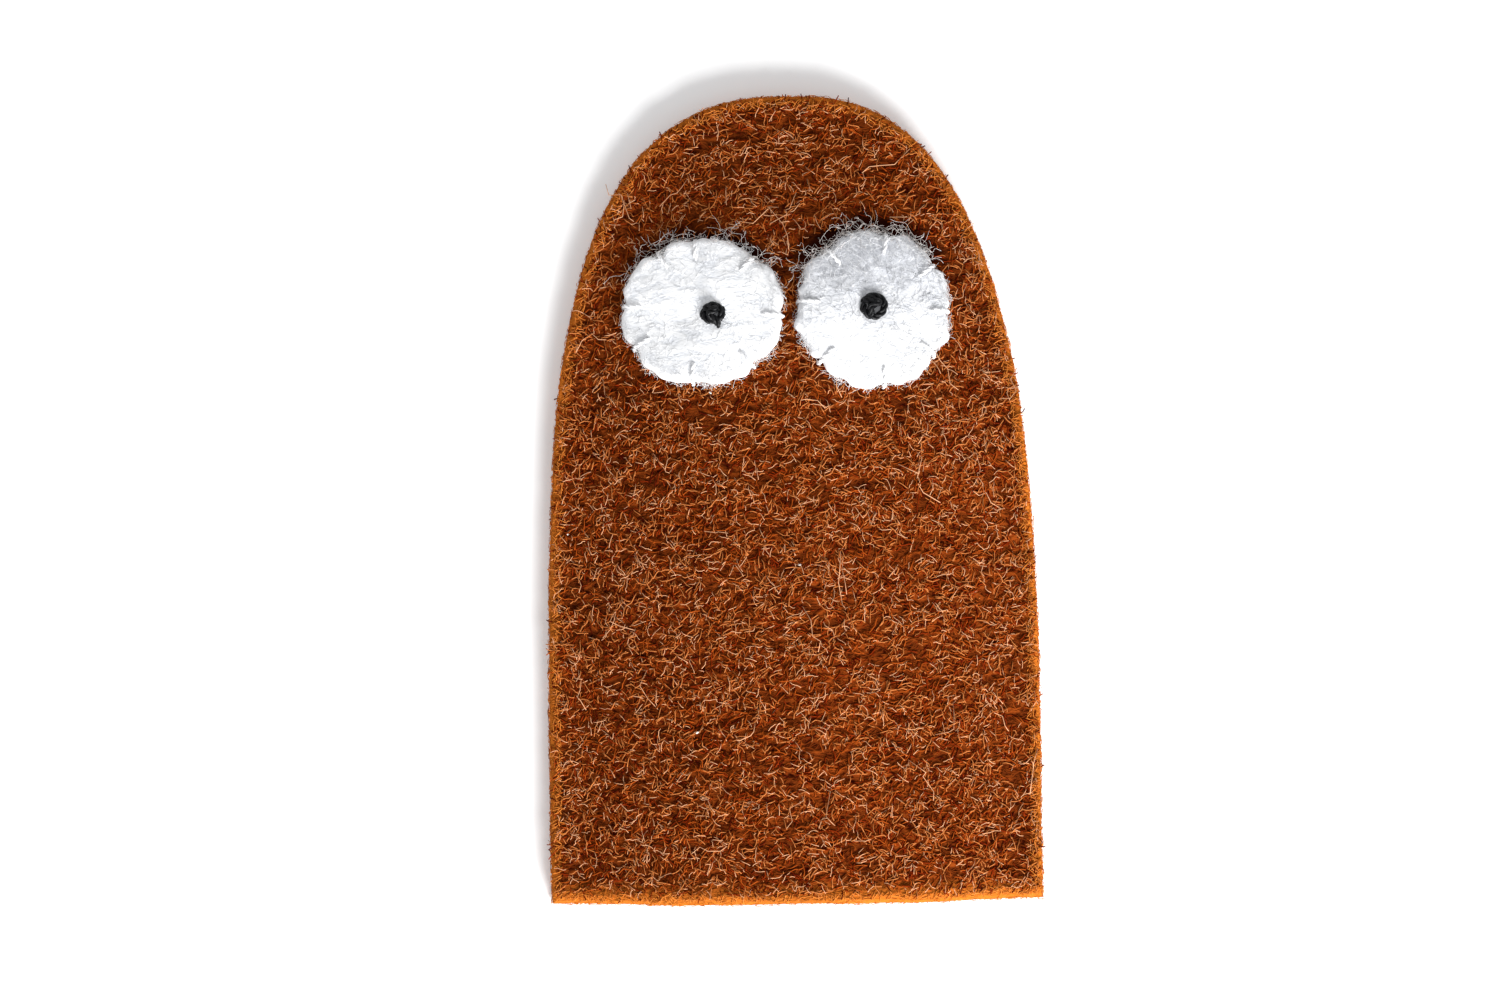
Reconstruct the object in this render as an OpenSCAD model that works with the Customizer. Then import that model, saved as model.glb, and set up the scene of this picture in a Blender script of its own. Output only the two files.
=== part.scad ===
// Felt finger puppet: two felt panels glued round the edge into a finger pocket,
// with two stitched felt eyes and French-knot pupils.
// It lies on its back: +Y to the crown, +X to the viewer's right, +Z out of the face.
// Origin: middle of the outline, on the plane it rests on. Millimetres.

/* [Body] */
// Width across the mouth
body_w = 50; // [44:0.5:66]
// Height from mouth to crown
body_h = 82; // [72:1:110]
// Thickness of the brown felt
felt_t = 1.2; // [0.8:0.1:1.8]
// Roundness of the left shoulder (higher is squarer)
left_shoulder = 4.4; // [3:0.1:6]
// Roundness of the right shoulder (higher is squarer)
right_shoulder = 3.7; // [3:0.1:6]
// Flatness of the crown (2 is a plain ellipse)
crown_power = 2.48; // [2:0.01:3]

/* [Finger pocket] */
// Height of the open pocket at the middle of the mouth
pocket_gap = 5.5; // [4.5:0.1:9]
// Width of the glued seam along each side
seam_w = 3.4; // [2.5:0.1:5]
// Depth of the glued seam at the crown
crown_seam = 4.5; // [3:0.5:8]
// Length over which the pocket's roof curves down to the crown seam
crown_curve = 36.5; // [30:0.5:45]
// Thickness of the glue line
glue_t = 0.25; // [0.1:0.05:0.4]
// How far the glue stays back from the cut edge
glue_inset = 0.6; // [0.3:0.1:1.5]

/* [Eyes] */
// Width of the left eye
left_eye_w = 16.5; // [12:0.1:18]
// Height of the left eye
left_eye_h = 15; // [12:0.1:18]
// Width of the right eye
right_eye_w = 15.6; // [12:0.1:18]
// Height of the right eye
right_eye_h = 16; // [12:0.1:18]
// Gap between the two eyes
eye_gap = 1.1; // [0.9:0.05:2]
// Crown to the middle of the eyes
eye_drop = 22.1; // [19:0.1:25]
// Thickness of the white felt
eye_t = 1.2; // [0.8:0.1:1.6]
// How far each stitch pulls the rim in
pucker = 0.45; // [0:0.05:0.8]

/* [Thread] */
// Diameter of the white sewing thread
thread_d = 0.5; // [0.3:0.05:0.6]
// Length of a stitch on the face of the eye
stitch_len = 2.2; // [1.5:0.1:3]
// Diameter of a strand of the black floss
floss_d = 0.7; // [0.5:0.05:0.8]
// Width of the left French knot
left_knot_w = 2.5; // [2:0.1:3]
// Width of the right French knot
right_knot_w = 2.9; // [2:0.1:3]

/* [Bend] */
// Slit between the two halves where the finger's end joint bends
bend_slit = 0.3; // [0.2:0.05:0.5]

/* [Hidden] */
$fn = 96;
// Soft layers lie this far apart
lay_gap = 0.05;
// Points down each side of the outline
side_steps = 40;
// Points round an eye
eye_steps = 90;
// Half-width in degrees of the dip at a stitch
pucker_spread = 8;
// A cord's turns are this much thicker than its straight runs
bead = 1.15;
// Neighbouring straight runs differ a little in thickness
tapers = [1, 0.94, 0.98, 0.92];
// Distance of a stitch's outer hole from the rim
hole_out = 0.35;
// Stitch angles in degrees, anticlockwise from +X, in sewing order; each thread starts
// between the eyes, where the pocket is deep enough for its knot
left_stitches = [-4, -48, -98, -152, 175, 126, 95, 45];
right_stitches = [173, 127, 80, 36, -2, -38, -83, -136];
// Pupil offsets from the middle of each eye
left_pupil = [1.2, -0.3];
right_pupil = [-0.1, 0.2];

half_w = body_w / 2;
half_h = body_h / 2;
seam_z = felt_t + glue_t;
pocket_half = half_w - seam_w;
// The pocket roof is a cylinder along Y as far as curve_y, then curves down to the crown seam
roof_r = (pocket_half * pocket_half + pocket_gap * pocket_gap) / (2 * pocket_gap);
axis_z = seam_z + pocket_gap - roof_r;
curve_y = half_h - crown_seam - crown_curve;
crown_r = (crown_curve * crown_curve + pocket_gap * pocket_gap) / (2 * pocket_gap);
eye_y = half_h - eye_drop;
left_eye_x = -(eye_gap + left_eye_w) / 2;
right_eye_x = (eye_gap + right_eye_w) / 2;
thread_r = thread_d / 2;
floss_r = floss_d / 2;
eye_top = lay_gap + eye_t;
inside_h = -(felt_t + lay_gap + thread_r * bead);

// A point of one side of the outline: t runs 0 at the mouth to 90 at the crown
function side_x(t, inset) = (half_w - inset) * pow(cos(t), 2 / crown_power);
function side_y(t, n, inset) = (body_h - inset) * pow(sin(t), 2 / n) - half_h;

// Radius of the pocket roof's surface of revolution at y, moved outwards by out
function roof_at(y, out) =
    y <= curve_y ? roof_r + out
        : roof_r - crown_r + sqrt(pow(crown_r + out, 2) - pow(y - curve_y, 2));

// Outward direction of the front panel at plan position x, y
function turn(x, y) = asin(x / roof_at(y, felt_t));
function lean(y) = y <= curve_y ? 0 : asin((y - curve_y) / (crown_r + felt_t));
function outward(x, y) =
    [sin(turn(x, y)) * cos(lean(y)), sin(lean(y)), cos(turn(x, y)) * cos(lean(y))];

// The point h above the front panel's outer face at plan position x, y
function above(x, y, h) =
    [x, y, axis_z + roof_at(y, felt_t) * cos(turn(x, y))] + h * outward(x, y);

// Signed difference of two angles, -180 to 180
function apart(a, b) = (a - b + 540) % 360 - 180;

// Dip of the rim at angle a caused by all the stitches
function dip(a, stitches) =
    max([for (s = stitches) pucker * exp(-pow(apart(a, s) / pucker_spread, 2))]);

// Radius of an eye's rim at angle a, without its dips
function oval(a, w, h) = 1 / sqrt(pow(2 * cos(a) / w, 2) + pow(2 * sin(a) / h, 2));

module outline(inset = 0) {
    right = [for (i = [0:side_steps - 1])
        let (t = 90 * i / side_steps)
        [side_x(t, inset), side_y(t, right_shoulder, inset)]];
    left = [for (i = [0:side_steps - 1])
        let (t = 90 * (side_steps - i - 1) / side_steps)
        [-side_x(t, inset), side_y(t, left_shoulder, inset)]];
    polygon(concat(right, [[0, half_h - inset]], left));
}

module eye_outline(w, h, stitches) {
    polygon([for (i = [0:eye_steps - 1])
        let (a = 360 * i / eye_steps, r = oval(a, w, h) - dip(a, stitches))
        [r * cos(a), r * sin(a)]]);
}

// Everything under the pocket roof moved outwards by out
module under_roof(out) {
    translate([0, 0, axis_z])
        rotate([-90, 0, 0])
        rotate_extrude($fn = 360)
        intersection() {
            translate([0, -body_h])
                square([roof_r + out, 2 * body_h]);
            union() {
                translate([0, -body_h])
                    square([roof_r + out, body_h + curve_y]);
                translate([roof_r - crown_r, curve_y])
                    circle(r = crown_r + out, $fn = 720);
            }
        }
}

// Keeps what lies above the bend (end = 1) or below it (end = -1)
module half(end) {
    intersection() {
        children();
        translate([-body_w, end > 0 ? bend_slit / 2 : -body_h - bend_slit / 2, -1])
            cube([2 * body_w, body_h, 40]);
    }
}

module strand(a, b, r) {
    run = b - a;
    len = norm(run);
    translate(a)
        rotate([0, acos(run[2] / len), atan2(run[1], run[0])])
        cylinder(h = len, r = r);
}

// A cord laid through a list of points, with a slightly fuller bead at each turn
module cord(points, r) {
    for (i = [0:len(points) - 2])
        strand(points[i], points[i + 1], r * tapers[i % len(tapers)]);
    for (p = points)
        translate(p)
            sphere(r = r * bead);
}

// Places children on the front panel at plan position x, y with Z along its outward direction
module on_front(x, y) {
    translate(above(x, y, 0))
        rotate([0, turn(x, y), 0])
        rotate([-lean(y), 0, 0])
        children();
}

module back_panel(end) {
    half(end)
        linear_extrude(height = felt_t)
        outline();
}

module front_panel(end) {
    half(end)
        difference() {
            union() {
                translate([0, 0, seam_z])
                    linear_extrude(height = felt_t)
                    outline();
                intersection() {
                    translate([0, 0, seam_z])
                        linear_extrude(height = pocket_gap + 2 * felt_t)
                        outline();
                    under_roof(felt_t);
                }
            }
            under_roof(0);
        }
}

module seam_glue(end) {
    half(end)
        difference() {
            translate([0, 0, felt_t])
                linear_extrude(height = glue_t)
                outline(glue_inset);
            translate([0, 0, felt_t - 1])
                linear_extrude(height = 3)
                outline(seam_w - glue_inset);
            translate([-body_w, -half_h - 1, 0])
                cube([2 * body_w, 1 + glue_inset, 10]);
        }
}

module eye(x, w, h, stitches) {
    intersection() {
        translate([x, eye_y, 0])
            linear_extrude(height = 30)
            eye_outline(w, h, stitches);
        difference() {
            under_roof(felt_t + eye_top);
            under_roof(felt_t + lay_gap);
        }
    }
}

// The five points of one whip stitch: up outside the rim, over it, and down through the eye
function stitch_points(x, a, r) = [
    for (p = [
        [r + hole_out, inside_h],
        [r + hole_out, thread_r],
        [r - hole_out, eye_top],
        [r + hole_out - stitch_len, eye_top],
        [r + hole_out - stitch_len, inside_h]
    ])
    above(x + p[0] * cos(a), eye_y + p[0] * sin(a), p[1])
];

// One length of thread sews the whole eye: stitches, the runs between them inside the pocket,
// and a knot at each end
module eye_thread(x, w, h, stitches) {
    paths = [for (a = stitches) stitch_points(x, a, oval(a, w, h) - pucker)];
    $fn = 24;
    for (path = paths)
        union() {
            cord(path, thread_r);
        }
    for (i = [0:len(paths) - 2])
        strand(paths[i][4], paths[i + 1][0], 0.96 * thread_r);
    translate(paths[0][0])
        sphere(r = 1.2 * thread_d);
    translate(paths[len(paths) - 1][4])
        sphere(r = 1.2 * thread_d);
}

// Two wraps of floss round a core, a leg down through the felts and a tied end inside
module pupil_floss(x, y, w) {
    wrap_r = w / 2 - floss_r;
    on_front(x, y) {
        translate([0, 0, eye_top + floss_r])
            rotate([8, 0, 0])
            rotate_extrude()
            translate([wrap_r, 0])
            circle(r = floss_r);
        translate([0, 0, eye_top + 2 * floss_r])
            rotate([-10, 12, 0])
            rotate_extrude()
            translate([wrap_r - 0.2, 0])
            circle(r = floss_r);
        translate([0, 0, eye_top + 2 * floss_r])
            sphere(r = wrap_r);
        translate([0, 0, inside_h])
            cylinder(h = eye_top + 2 * floss_r - inside_h, r = floss_r);
        translate([0, 0, inside_h])
            sphere(r = 1.3 * floss_r);
        translate([0, 0, inside_h])
            rotate([0, 90, 25])
            cylinder(h = 3.5, r = floss_r * 0.8);
        translate([0, 0, inside_h])
            rotate([0, 90, 160])
            cylinder(h = 2.5, r = floss_r * 0.8);
    }
}

module back_panel_lower() {
    color([0.50, 0.24, 0.10])
        back_panel(-1);
}

module back_panel_upper() {
    color([0.50, 0.24, 0.10])
        back_panel(1);
}

module front_panel_lower() {
    color([0.52, 0.26, 0.12])
        front_panel(-1);
}

module front_panel_upper() {
    color([0.52, 0.26, 0.12])
        front_panel(1);
}

module seam_glue_lower() {
    color([0.88, 0.86, 0.78])
        seam_glue(-1);
}

module seam_glue_upper() {
    color([0.88, 0.86, 0.78])
        seam_glue(1);
}

module left_eye() {
    color([0.95, 0.95, 0.96])
        eye(left_eye_x, left_eye_w, left_eye_h, left_stitches);
}

module right_eye() {
    color([0.95, 0.95, 0.96])
        eye(right_eye_x, right_eye_w, right_eye_h, right_stitches);
}

module left_eye_thread() {
    color([0.98, 0.98, 0.98])
        eye_thread(left_eye_x, left_eye_w, left_eye_h, left_stitches);
}

module right_eye_thread() {
    color([0.98, 0.98, 0.98])
        eye_thread(right_eye_x, right_eye_w, right_eye_h, right_stitches);
}

module left_pupil_floss() {
    color([0.03, 0.03, 0.04])
        pupil_floss(left_eye_x + left_pupil[0], eye_y + left_pupil[1], left_knot_w);
}

module right_pupil_floss() {
    color([0.03, 0.03, 0.04])
        pupil_floss(right_eye_x + right_pupil[0], eye_y + right_pupil[1], right_knot_w);
}

back_panel_lower();
back_panel_upper();
front_panel_lower();
front_panel_upper();
seam_glue_lower();
seam_glue_upper();
left_eye();
right_eye();
left_eye_thread();
right_eye_thread();
left_pupil_floss();
right_pupil_floss();
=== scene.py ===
import math

import bpy
import numpy as np
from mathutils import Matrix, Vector
from mathutils.geometry import delaunay_2d_cdt


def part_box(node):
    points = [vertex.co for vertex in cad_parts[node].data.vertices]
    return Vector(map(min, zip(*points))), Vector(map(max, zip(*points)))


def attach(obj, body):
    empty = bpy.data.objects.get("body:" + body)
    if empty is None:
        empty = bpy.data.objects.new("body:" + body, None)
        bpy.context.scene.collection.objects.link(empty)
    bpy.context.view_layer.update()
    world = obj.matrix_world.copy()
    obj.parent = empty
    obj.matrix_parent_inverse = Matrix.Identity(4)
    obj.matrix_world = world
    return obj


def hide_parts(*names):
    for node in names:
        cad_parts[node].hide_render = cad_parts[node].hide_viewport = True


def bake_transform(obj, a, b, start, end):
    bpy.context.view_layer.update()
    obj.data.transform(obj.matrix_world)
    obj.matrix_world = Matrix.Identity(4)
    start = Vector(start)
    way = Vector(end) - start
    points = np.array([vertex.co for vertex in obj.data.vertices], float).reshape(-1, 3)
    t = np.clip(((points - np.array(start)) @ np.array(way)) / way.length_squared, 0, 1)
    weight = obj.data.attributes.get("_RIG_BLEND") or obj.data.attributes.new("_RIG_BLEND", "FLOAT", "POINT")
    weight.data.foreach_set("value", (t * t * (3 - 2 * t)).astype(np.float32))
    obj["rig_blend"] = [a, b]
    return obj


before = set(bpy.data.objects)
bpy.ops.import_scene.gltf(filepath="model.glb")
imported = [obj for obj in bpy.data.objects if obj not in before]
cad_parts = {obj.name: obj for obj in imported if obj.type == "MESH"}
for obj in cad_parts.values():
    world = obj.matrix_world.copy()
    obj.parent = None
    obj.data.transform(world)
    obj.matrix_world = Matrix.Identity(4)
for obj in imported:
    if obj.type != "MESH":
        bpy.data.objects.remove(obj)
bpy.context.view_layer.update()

scene = bpy.context.scene
MM = 0.001

# ---------------------------------------------------------------- Camera, light and floor
# The puppet lies face up on a white table, seen from straight above with a long lens.
# It is turned a little anticlockwise and sits a little right of the middle.
CAMERA_HEIGHT = 0.45
VIEW_WIDTH = 0.1527
VIEW_CENTRE = (-0.00430, -0.0001)
VIEW_TURN = math.radians(-0.75)
FACE_HEIGHT = 0.003
SENSOR = 36.0
TABLE_HALF = 2.0

camera_data = bpy.data.cameras.new("camera")
camera_data.sensor_width = SENSOR
camera_data.lens = SENSOR * (CAMERA_HEIGHT - FACE_HEIGHT) / VIEW_WIDTH
camera_data.clip_start = 0.01
camera = bpy.data.objects.new("camera", camera_data)
camera.location = (VIEW_CENTRE[0], VIEW_CENTRE[1], CAMERA_HEIGHT)
camera.rotation_euler = (0.0, 0.0, VIEW_TURN)
scene.collection.objects.link(camera)
scene.camera = camera
scene.view_settings.view_transform = "Standard"
scene.view_settings.look = "None"

window = bpy.data.lights.new("window_light", "AREA")
window.shape = "SQUARE"
window.size = 0.34
window.energy = 10.4
window_light = bpy.data.objects.new("window_light", window)
window_light.location = (0.26, -0.56, 0.36)
window_light.rotation_euler = (-window_light.location).to_track_quat("-Z", "Y").to_euler()
scene.collection.objects.link(window_light)

sky = bpy.data.worlds.new("studio")
sky.use_nodes = True
sky.node_tree.nodes["Background"].inputs["Color"].default_value = (0.97, 0.98, 1.0, 1.0)
sky.node_tree.nodes["Background"].inputs["Strength"].default_value = 0.60
scene.world = sky


def new_paint(name, finish):
    """A node material, its tree and its Principled shader with the finish's values set."""
    paint = bpy.data.materials.new(name)
    paint.use_nodes = True
    shader = paint.node_tree.nodes["Principled BSDF"]
    for label, value in finish.items():
        shader.inputs[label].default_value = value
    return paint, paint.node_tree, shader


table_paint, _, _ = new_paint("table_paint", {
    "Base Color": (0.88, 0.88, 0.88, 1.0), "Roughness": 0.8,
    "Emission Color": (1.0, 1.0, 0.99, 1.0), "Emission Strength": 0.17})
table_mesh = bpy.data.meshes.new("table_top")
table_mesh.from_pydata([(-TABLE_HALF, -TABLE_HALF, 0), (TABLE_HALF, -TABLE_HALF, 0),
                        (TABLE_HALF, TABLE_HALF, 0), (-TABLE_HALF, TABLE_HALF, 0)],
                       [], [(0, 1, 2, 3)])
table_mesh.materials.append(table_paint)
table = bpy.data.objects.new("table_top", table_mesh)
scene.collection.objects.link(table)

# ---------------------------------------------------------------- Back panel
# Bullet-shaped panel cut by hand from brown craft felt, 1.2 mm thick.
# It lies flat on the table and closes the finger pocket from behind.
low_lower, high_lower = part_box("back_panel_lower")
_, high_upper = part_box("back_panel_upper")
HALF_W = (high_lower[0] - low_lower[0]) / 2 / MM
HALF_H = (high_upper[1] - low_lower[1]) / 2 / MM
FELT_T = (high_lower[2] - low_lower[2]) / MM
# Shape of the outline: higher numbers make squarer shoulders and a flatter crown.
LEFT_SHOULDER = 4.4
RIGHT_SHOULDER = 3.7
CROWN_POWER = 2.48
# Spacing of the mesh along the cut edge and over the felt, and the rounding of the edge.
EDGE_STEP = 0.36
FELT_STEP = 0.40
EDGE_ROUND = 0.32
# Rings of points down the cut edge: inset, share of the thickness, and sink.
EDGE_LEVELS = ((0.30, 1.0, -0.10), (0.0, 0.72, 0.0), (-0.05, 0.5, 0.0), (0.0, 0.28, 0.0),
               (0.30, 0.0, 0.10))
SCISSOR_WANDER = 0.16
# The sleeve bends between these heights, below the eyes' lower rims.
BEND_START = -1.0
BEND_END = 11.0
# The back panel's scissor seed, and how far its cut line is moved inwards from the outline, in millimetres.
BACK_SEED = 31
BACK_SLACK = -0.10
TURN = 2 * math.pi
# Upper limit of a wave's random phase, and the waves in the cut line and in a soft face.
ANY_PHASE = 6.28
SCISSOR_BEATS = range(5, 60, 3)
SOFT_WAVES = 9
# Rows of an even triangle grid stand this share of a step apart; points stray by the jitter.
ROW_SHARE = 0.866
GRID_JITTER = 0.12
# The back panel's faces: clearance from the table and from the glue.
BACK_CLEAR = 0.10
GLUE_CLEAR = 0.06
# How deep the pale colour of the cut edge reaches, in metres; it is partly the cut felt's own colour and
# partly a painted highlight where light catches the rim.
PALE_START = 0.0001
PALE_END = 0.0012

# Pit colour: painted shade in the recesses between fibre clumps.
BROWN_PIT = (0.020, 0.0008, 0.0001, 1.0)
BROWN_BODY = (0.070, 0.0045, 0.0003, 1.0)
BROWN_FIBRE = (0.26, 0.050, 0.006, 1.0)
# Painted shadow: the near-black brown laid on the felt above each eye's upper rim.
BROWN_PAINTED_SHADOW = (0.014, 0.0014, 0.0006, 1.0)
# Cut edge colour: partly the cut felt's own paler colour, partly a painted highlight.
BROWN_EDGE = (0.57, 0.156, 0.017, 1.0)


def side_point(t, power, side):
    x = HALF_W * math.cos(t) ** (2 / CROWN_POWER)
    y = 2 * HALF_H * math.sin(t) ** (2 / power) - HALF_H
    return side * x, y


def spaced(points, step):
    """The same line with points an even step apart, both ends kept."""
    points = np.array(points, float)
    run = np.r_[0, np.cumsum(np.linalg.norm(np.diff(points, axis=0), axis=1))]
    count = max(2, int(round(run[-1] / step)))
    at = np.linspace(0, run[-1], count + 1)
    return np.stack([np.interp(at, run, points[:, k]) for k in range(points.shape[1])], axis=1)


def cut_line(seed, slack):
    """The outline as scissors cut it, anticlockwise from the right-hand mouth corner."""
    angles = np.linspace(0, math.pi / 2, 400)
    right = [side_point(t, RIGHT_SHOULDER, 1) for t in angles]
    left = [side_point(t, LEFT_SHOULDER, -1) for t in angles[::-1]]
    side = spaced(right + left[1:], EDGE_STEP)
    mouth = spaced([side[-1], side[0]], EDGE_STEP)
    ring = np.concatenate([side[:-1], mouth[:-1]])
    draw = np.random.default_rng(seed)
    place = np.linspace(0, TURN, len(ring), endpoint=False)
    wander = np.zeros(len(ring))
    for beat in SCISSOR_BEATS:
        wander += draw.normal() / beat ** 0.9 * np.sin(beat * place + draw.uniform(0, ANY_PHASE))
    ahead = np.roll(ring, -1, axis=0) - np.roll(ring, 1, axis=0)
    inward = np.stack([-ahead[:, 1], ahead[:, 0]], axis=1)
    inward /= np.linalg.norm(inward, axis=1)[:, None]
    return ring + inward * (slack - SCISSOR_WANDER * wander[:, None]), inward


def panel_plan(seed, slack):
    """Flat plan of a felt panel: even points inside a rounded rim, joined by triangles."""
    ring, inward = cut_line(seed, slack)
    inner = ring + inward * EDGE_ROUND * 1.1
    draw = np.random.default_rng(seed + 1)
    rows = np.arange(-HALF_H, HALF_H, FELT_STEP * ROW_SHARE)
    grid = []
    for k, y in enumerate(rows):
        xs = np.arange(-HALF_W, HALF_W, FELT_STEP) + (k % 2) * FELT_STEP / 2
        grid.append(np.stack([xs, np.full(len(xs), y)], axis=1))
    grid = np.concatenate(grid)
    grid += draw.uniform(-GRID_JITTER, GRID_JITTER, grid.shape)
    margin = EDGE_ROUND + 0.75 * FELT_STEP + 0.25
    rise = np.clip((grid[:, 1] + HALF_H) / (2 * HALF_H - margin), 0, 1)
    power = np.where(grid[:, 0] < 0, LEFT_SHOULDER, RIGHT_SHOULDER)
    reach = (HALF_W - margin) * (1 - rise ** power) ** (1 / CROWN_POWER)
    keep = (np.abs(grid[:, 0]) < reach) & (grid[:, 1] > -HALF_H + margin)
    grid = grid[keep]
    flat = [Vector(p) for p in np.concatenate([inner, grid])]
    loop = list(range(len(inner)))
    places, _, faces, *_ = delaunay_2d_cdt(flat, [], [loop], 1, 1e-6)
    return ring, inward, np.array([tuple(p) for p in places]), faces


def hand_waves(x, y, seed, size, height):
    """Slow unevenness of a hand-made soft sheet, zero on average."""
    draw = np.random.default_rng(seed)
    total = np.zeros(np.shape(x))
    for _ in range(SOFT_WAVES):
        turn = draw.uniform(0, ANY_PHASE)
        length = size * draw.uniform(0.6, 1.8)
        total += np.sin(TURN * (x * math.cos(turn) + y * math.sin(turn)) / length
                        + draw.uniform(0, ANY_PHASE))
    return total * height / 3.0


def plain_mesh(name, places, faces):
    """A mesh from points in millimetres."""
    mesh = bpy.data.meshes.new(name)
    mesh.from_pydata((np.asarray(places) * MM).tolist(), [], faces)
    mesh.update()
    return mesh


def add_piece(name, mesh):
    mesh.shade_smooth()
    piece = bpy.data.objects.new(name, mesh)
    scene.collection.objects.link(piece)
    return piece


def build_piece(name, places, faces, material):
    mesh = plain_mesh(name, places, faces)
    mesh.materials.append(material)
    return add_piece(name, mesh)


def note_points(mesh, name, values):
    """Stores one number or one vector for each point, for the materials to read."""
    values = np.asarray(values, np.float32)
    kind = "FLOAT" if values.ndim == 1 else "FLOAT_VECTOR"
    store = mesh.attributes.new(name, kind, "POINT")
    store.data.foreach_set("value" if values.ndim == 1 else "vector", values.ravel())


def mesh_points(mesh):
    """The points of a mesh, in millimetres."""
    places = np.empty(len(mesh.vertices) * 3, np.float32)
    mesh.vertices.foreach_get("co", places)
    return places.reshape(-1, 3) / MM


def edge_distance(spots, ring):
    """Distance from each plan position to the cut line."""
    line = ring[::2]
    gap = np.zeros(len(spots))
    for start in range(0, len(spots), 2000):
        part = spots[start:start + 2000]
        gap[start:start + len(part)] = np.sqrt(
            ((part[:, None, :] - line[None, :, :]) ** 2).sum(axis=2).min(axis=1))
    return gap


def ring_quads(upper, lower, count):
    """Quads between two rings of points, given the index at which each ring starts."""
    pairs = [(i, (i + 1) % count) for i in range(count)]
    return [(upper + i, lower + i, lower + j, upper + j) for i, j in pairs]


def felt_sheet(name, plan, top_height, bottom_height, material):
    """A closed felt sheet between two height functions, with its cut edge rounded."""
    ring, inward, places, faces = plan
    count = len(places)
    points = [np.column_stack([places, top_height(places[:, 0], places[:, 1])]),
              np.column_stack([places, bottom_height(places[:, 0], places[:, 1])])]
    for inset, share, sink in EDGE_LEVELS:
        spot = ring + inward * EDGE_ROUND * inset
        up = top_height(spot[:, 0], spot[:, 1])
        down = bottom_height(spot[:, 0], spot[:, 1])
        points.append(np.column_stack([spot, down + (up - down) * share + sink]))
    tris = [tuple(f) for f in faces]
    shell = tris + [tuple(i + count for i in reversed(f)) for f in tris]
    starts = [0] + [2 * count + k * len(ring) for k in range(len(EDGE_LEVELS))] + [count]
    for upper, lower in zip(starts[:-1], starts[1:]):
        shell += ring_quads(upper, lower, len(ring))
    points = np.concatenate(points)
    piece = build_piece(name, points, shell, material)
    gap = np.r_[edge_distance(points[:2 * count, :2], ring), np.zeros(len(points) - 2 * count)]
    # The mouth's cut edge gets a wider pale band, which is partly a painted highlight.
    gap = np.minimum(gap, 0.5 * np.maximum(points[:, 1] + HALF_H, 0))
    note_points(piece.data, "rest", points * MM)
    note_points(piece.data, "from_edge", gap * MM)
    return piece


CLUMP_SHAPE = (0.42, 1.0, 1.0)
CLUMP_SCALE = 1150.0


def add_node(tree, kind, inputs, **settings):
    """Adds a node; each input is another node's output or a plain value."""
    node = tree.nodes.new(kind)
    for label, value in settings.items():
        setattr(node, label, value)
    for place, value in inputs.items():
        if isinstance(value, bpy.types.NodeSocket):
            tree.links.new(value, node.inputs[place])
        else:
            node.inputs[place].default_value = value
    return node


def maths(tree, operation, *values, clamp=False):
    return add_node(tree, "ShaderNodeMath", dict(enumerate(values)),
                    operation=operation, use_clamp=clamp).outputs[0]


def vectors(tree, operation, first, second):
    places = {0: first, "Scale" if operation == "SCALE" else 1: second}
    return add_node(tree, "ShaderNodeVectorMath", places, operation=operation).outputs[0]


def map_range(tree, value, low, high, to_low=0.0, to_high=1.0):
    return add_node(tree, "ShaderNodeMapRange", {
        "Value": value, "From Min": low, "From Max": high,
        "To Min": to_low, "To Max": to_high}).outputs[0]


def noise(tree, place, scale, detail, roughness=0.5):
    return add_node(tree, "ShaderNodeTexNoise", {
        "Vector": place, "Scale": scale, "Detail": detail, "Roughness": roughness})


def mix_colour(tree, share, first, second):
    mix = add_node(tree, "ShaderNodeMix", {}, data_type="RGBA")
    colours = [s for s in mix.inputs if s.type == "RGBA"]
    for value, socket in ((share, mix.inputs["Factor"]), (first, colours[0]), (second, colours[1])):
        if isinstance(value, tuple):
            socket.default_value = value
        else:
            tree.links.new(value, socket)
    return [s for s in mix.outputs if s.type == "RGBA"][0]


def stored(tree, name):
    """A value or a place kept on the mesh's points."""
    return add_node(tree, "ShaderNodeAttribute", {}, attribute_name=name)


def add_bump(tree, shader, height, strength, relief):
    bump = add_node(tree, "ShaderNodeBump", {
        "Strength": strength, "Distance": relief, "Height": height})
    tree.links.new(bump.outputs["Normal"], shader.inputs["Normal"])


def add_inputs(tree, kind, starts):
    """Named inputs of a node group with their starting values."""
    for label, start in starts.items():
        socket = tree.interface.new_socket(name=label, in_out="INPUT", socket_type=kind)
        socket.default_value = start


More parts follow.
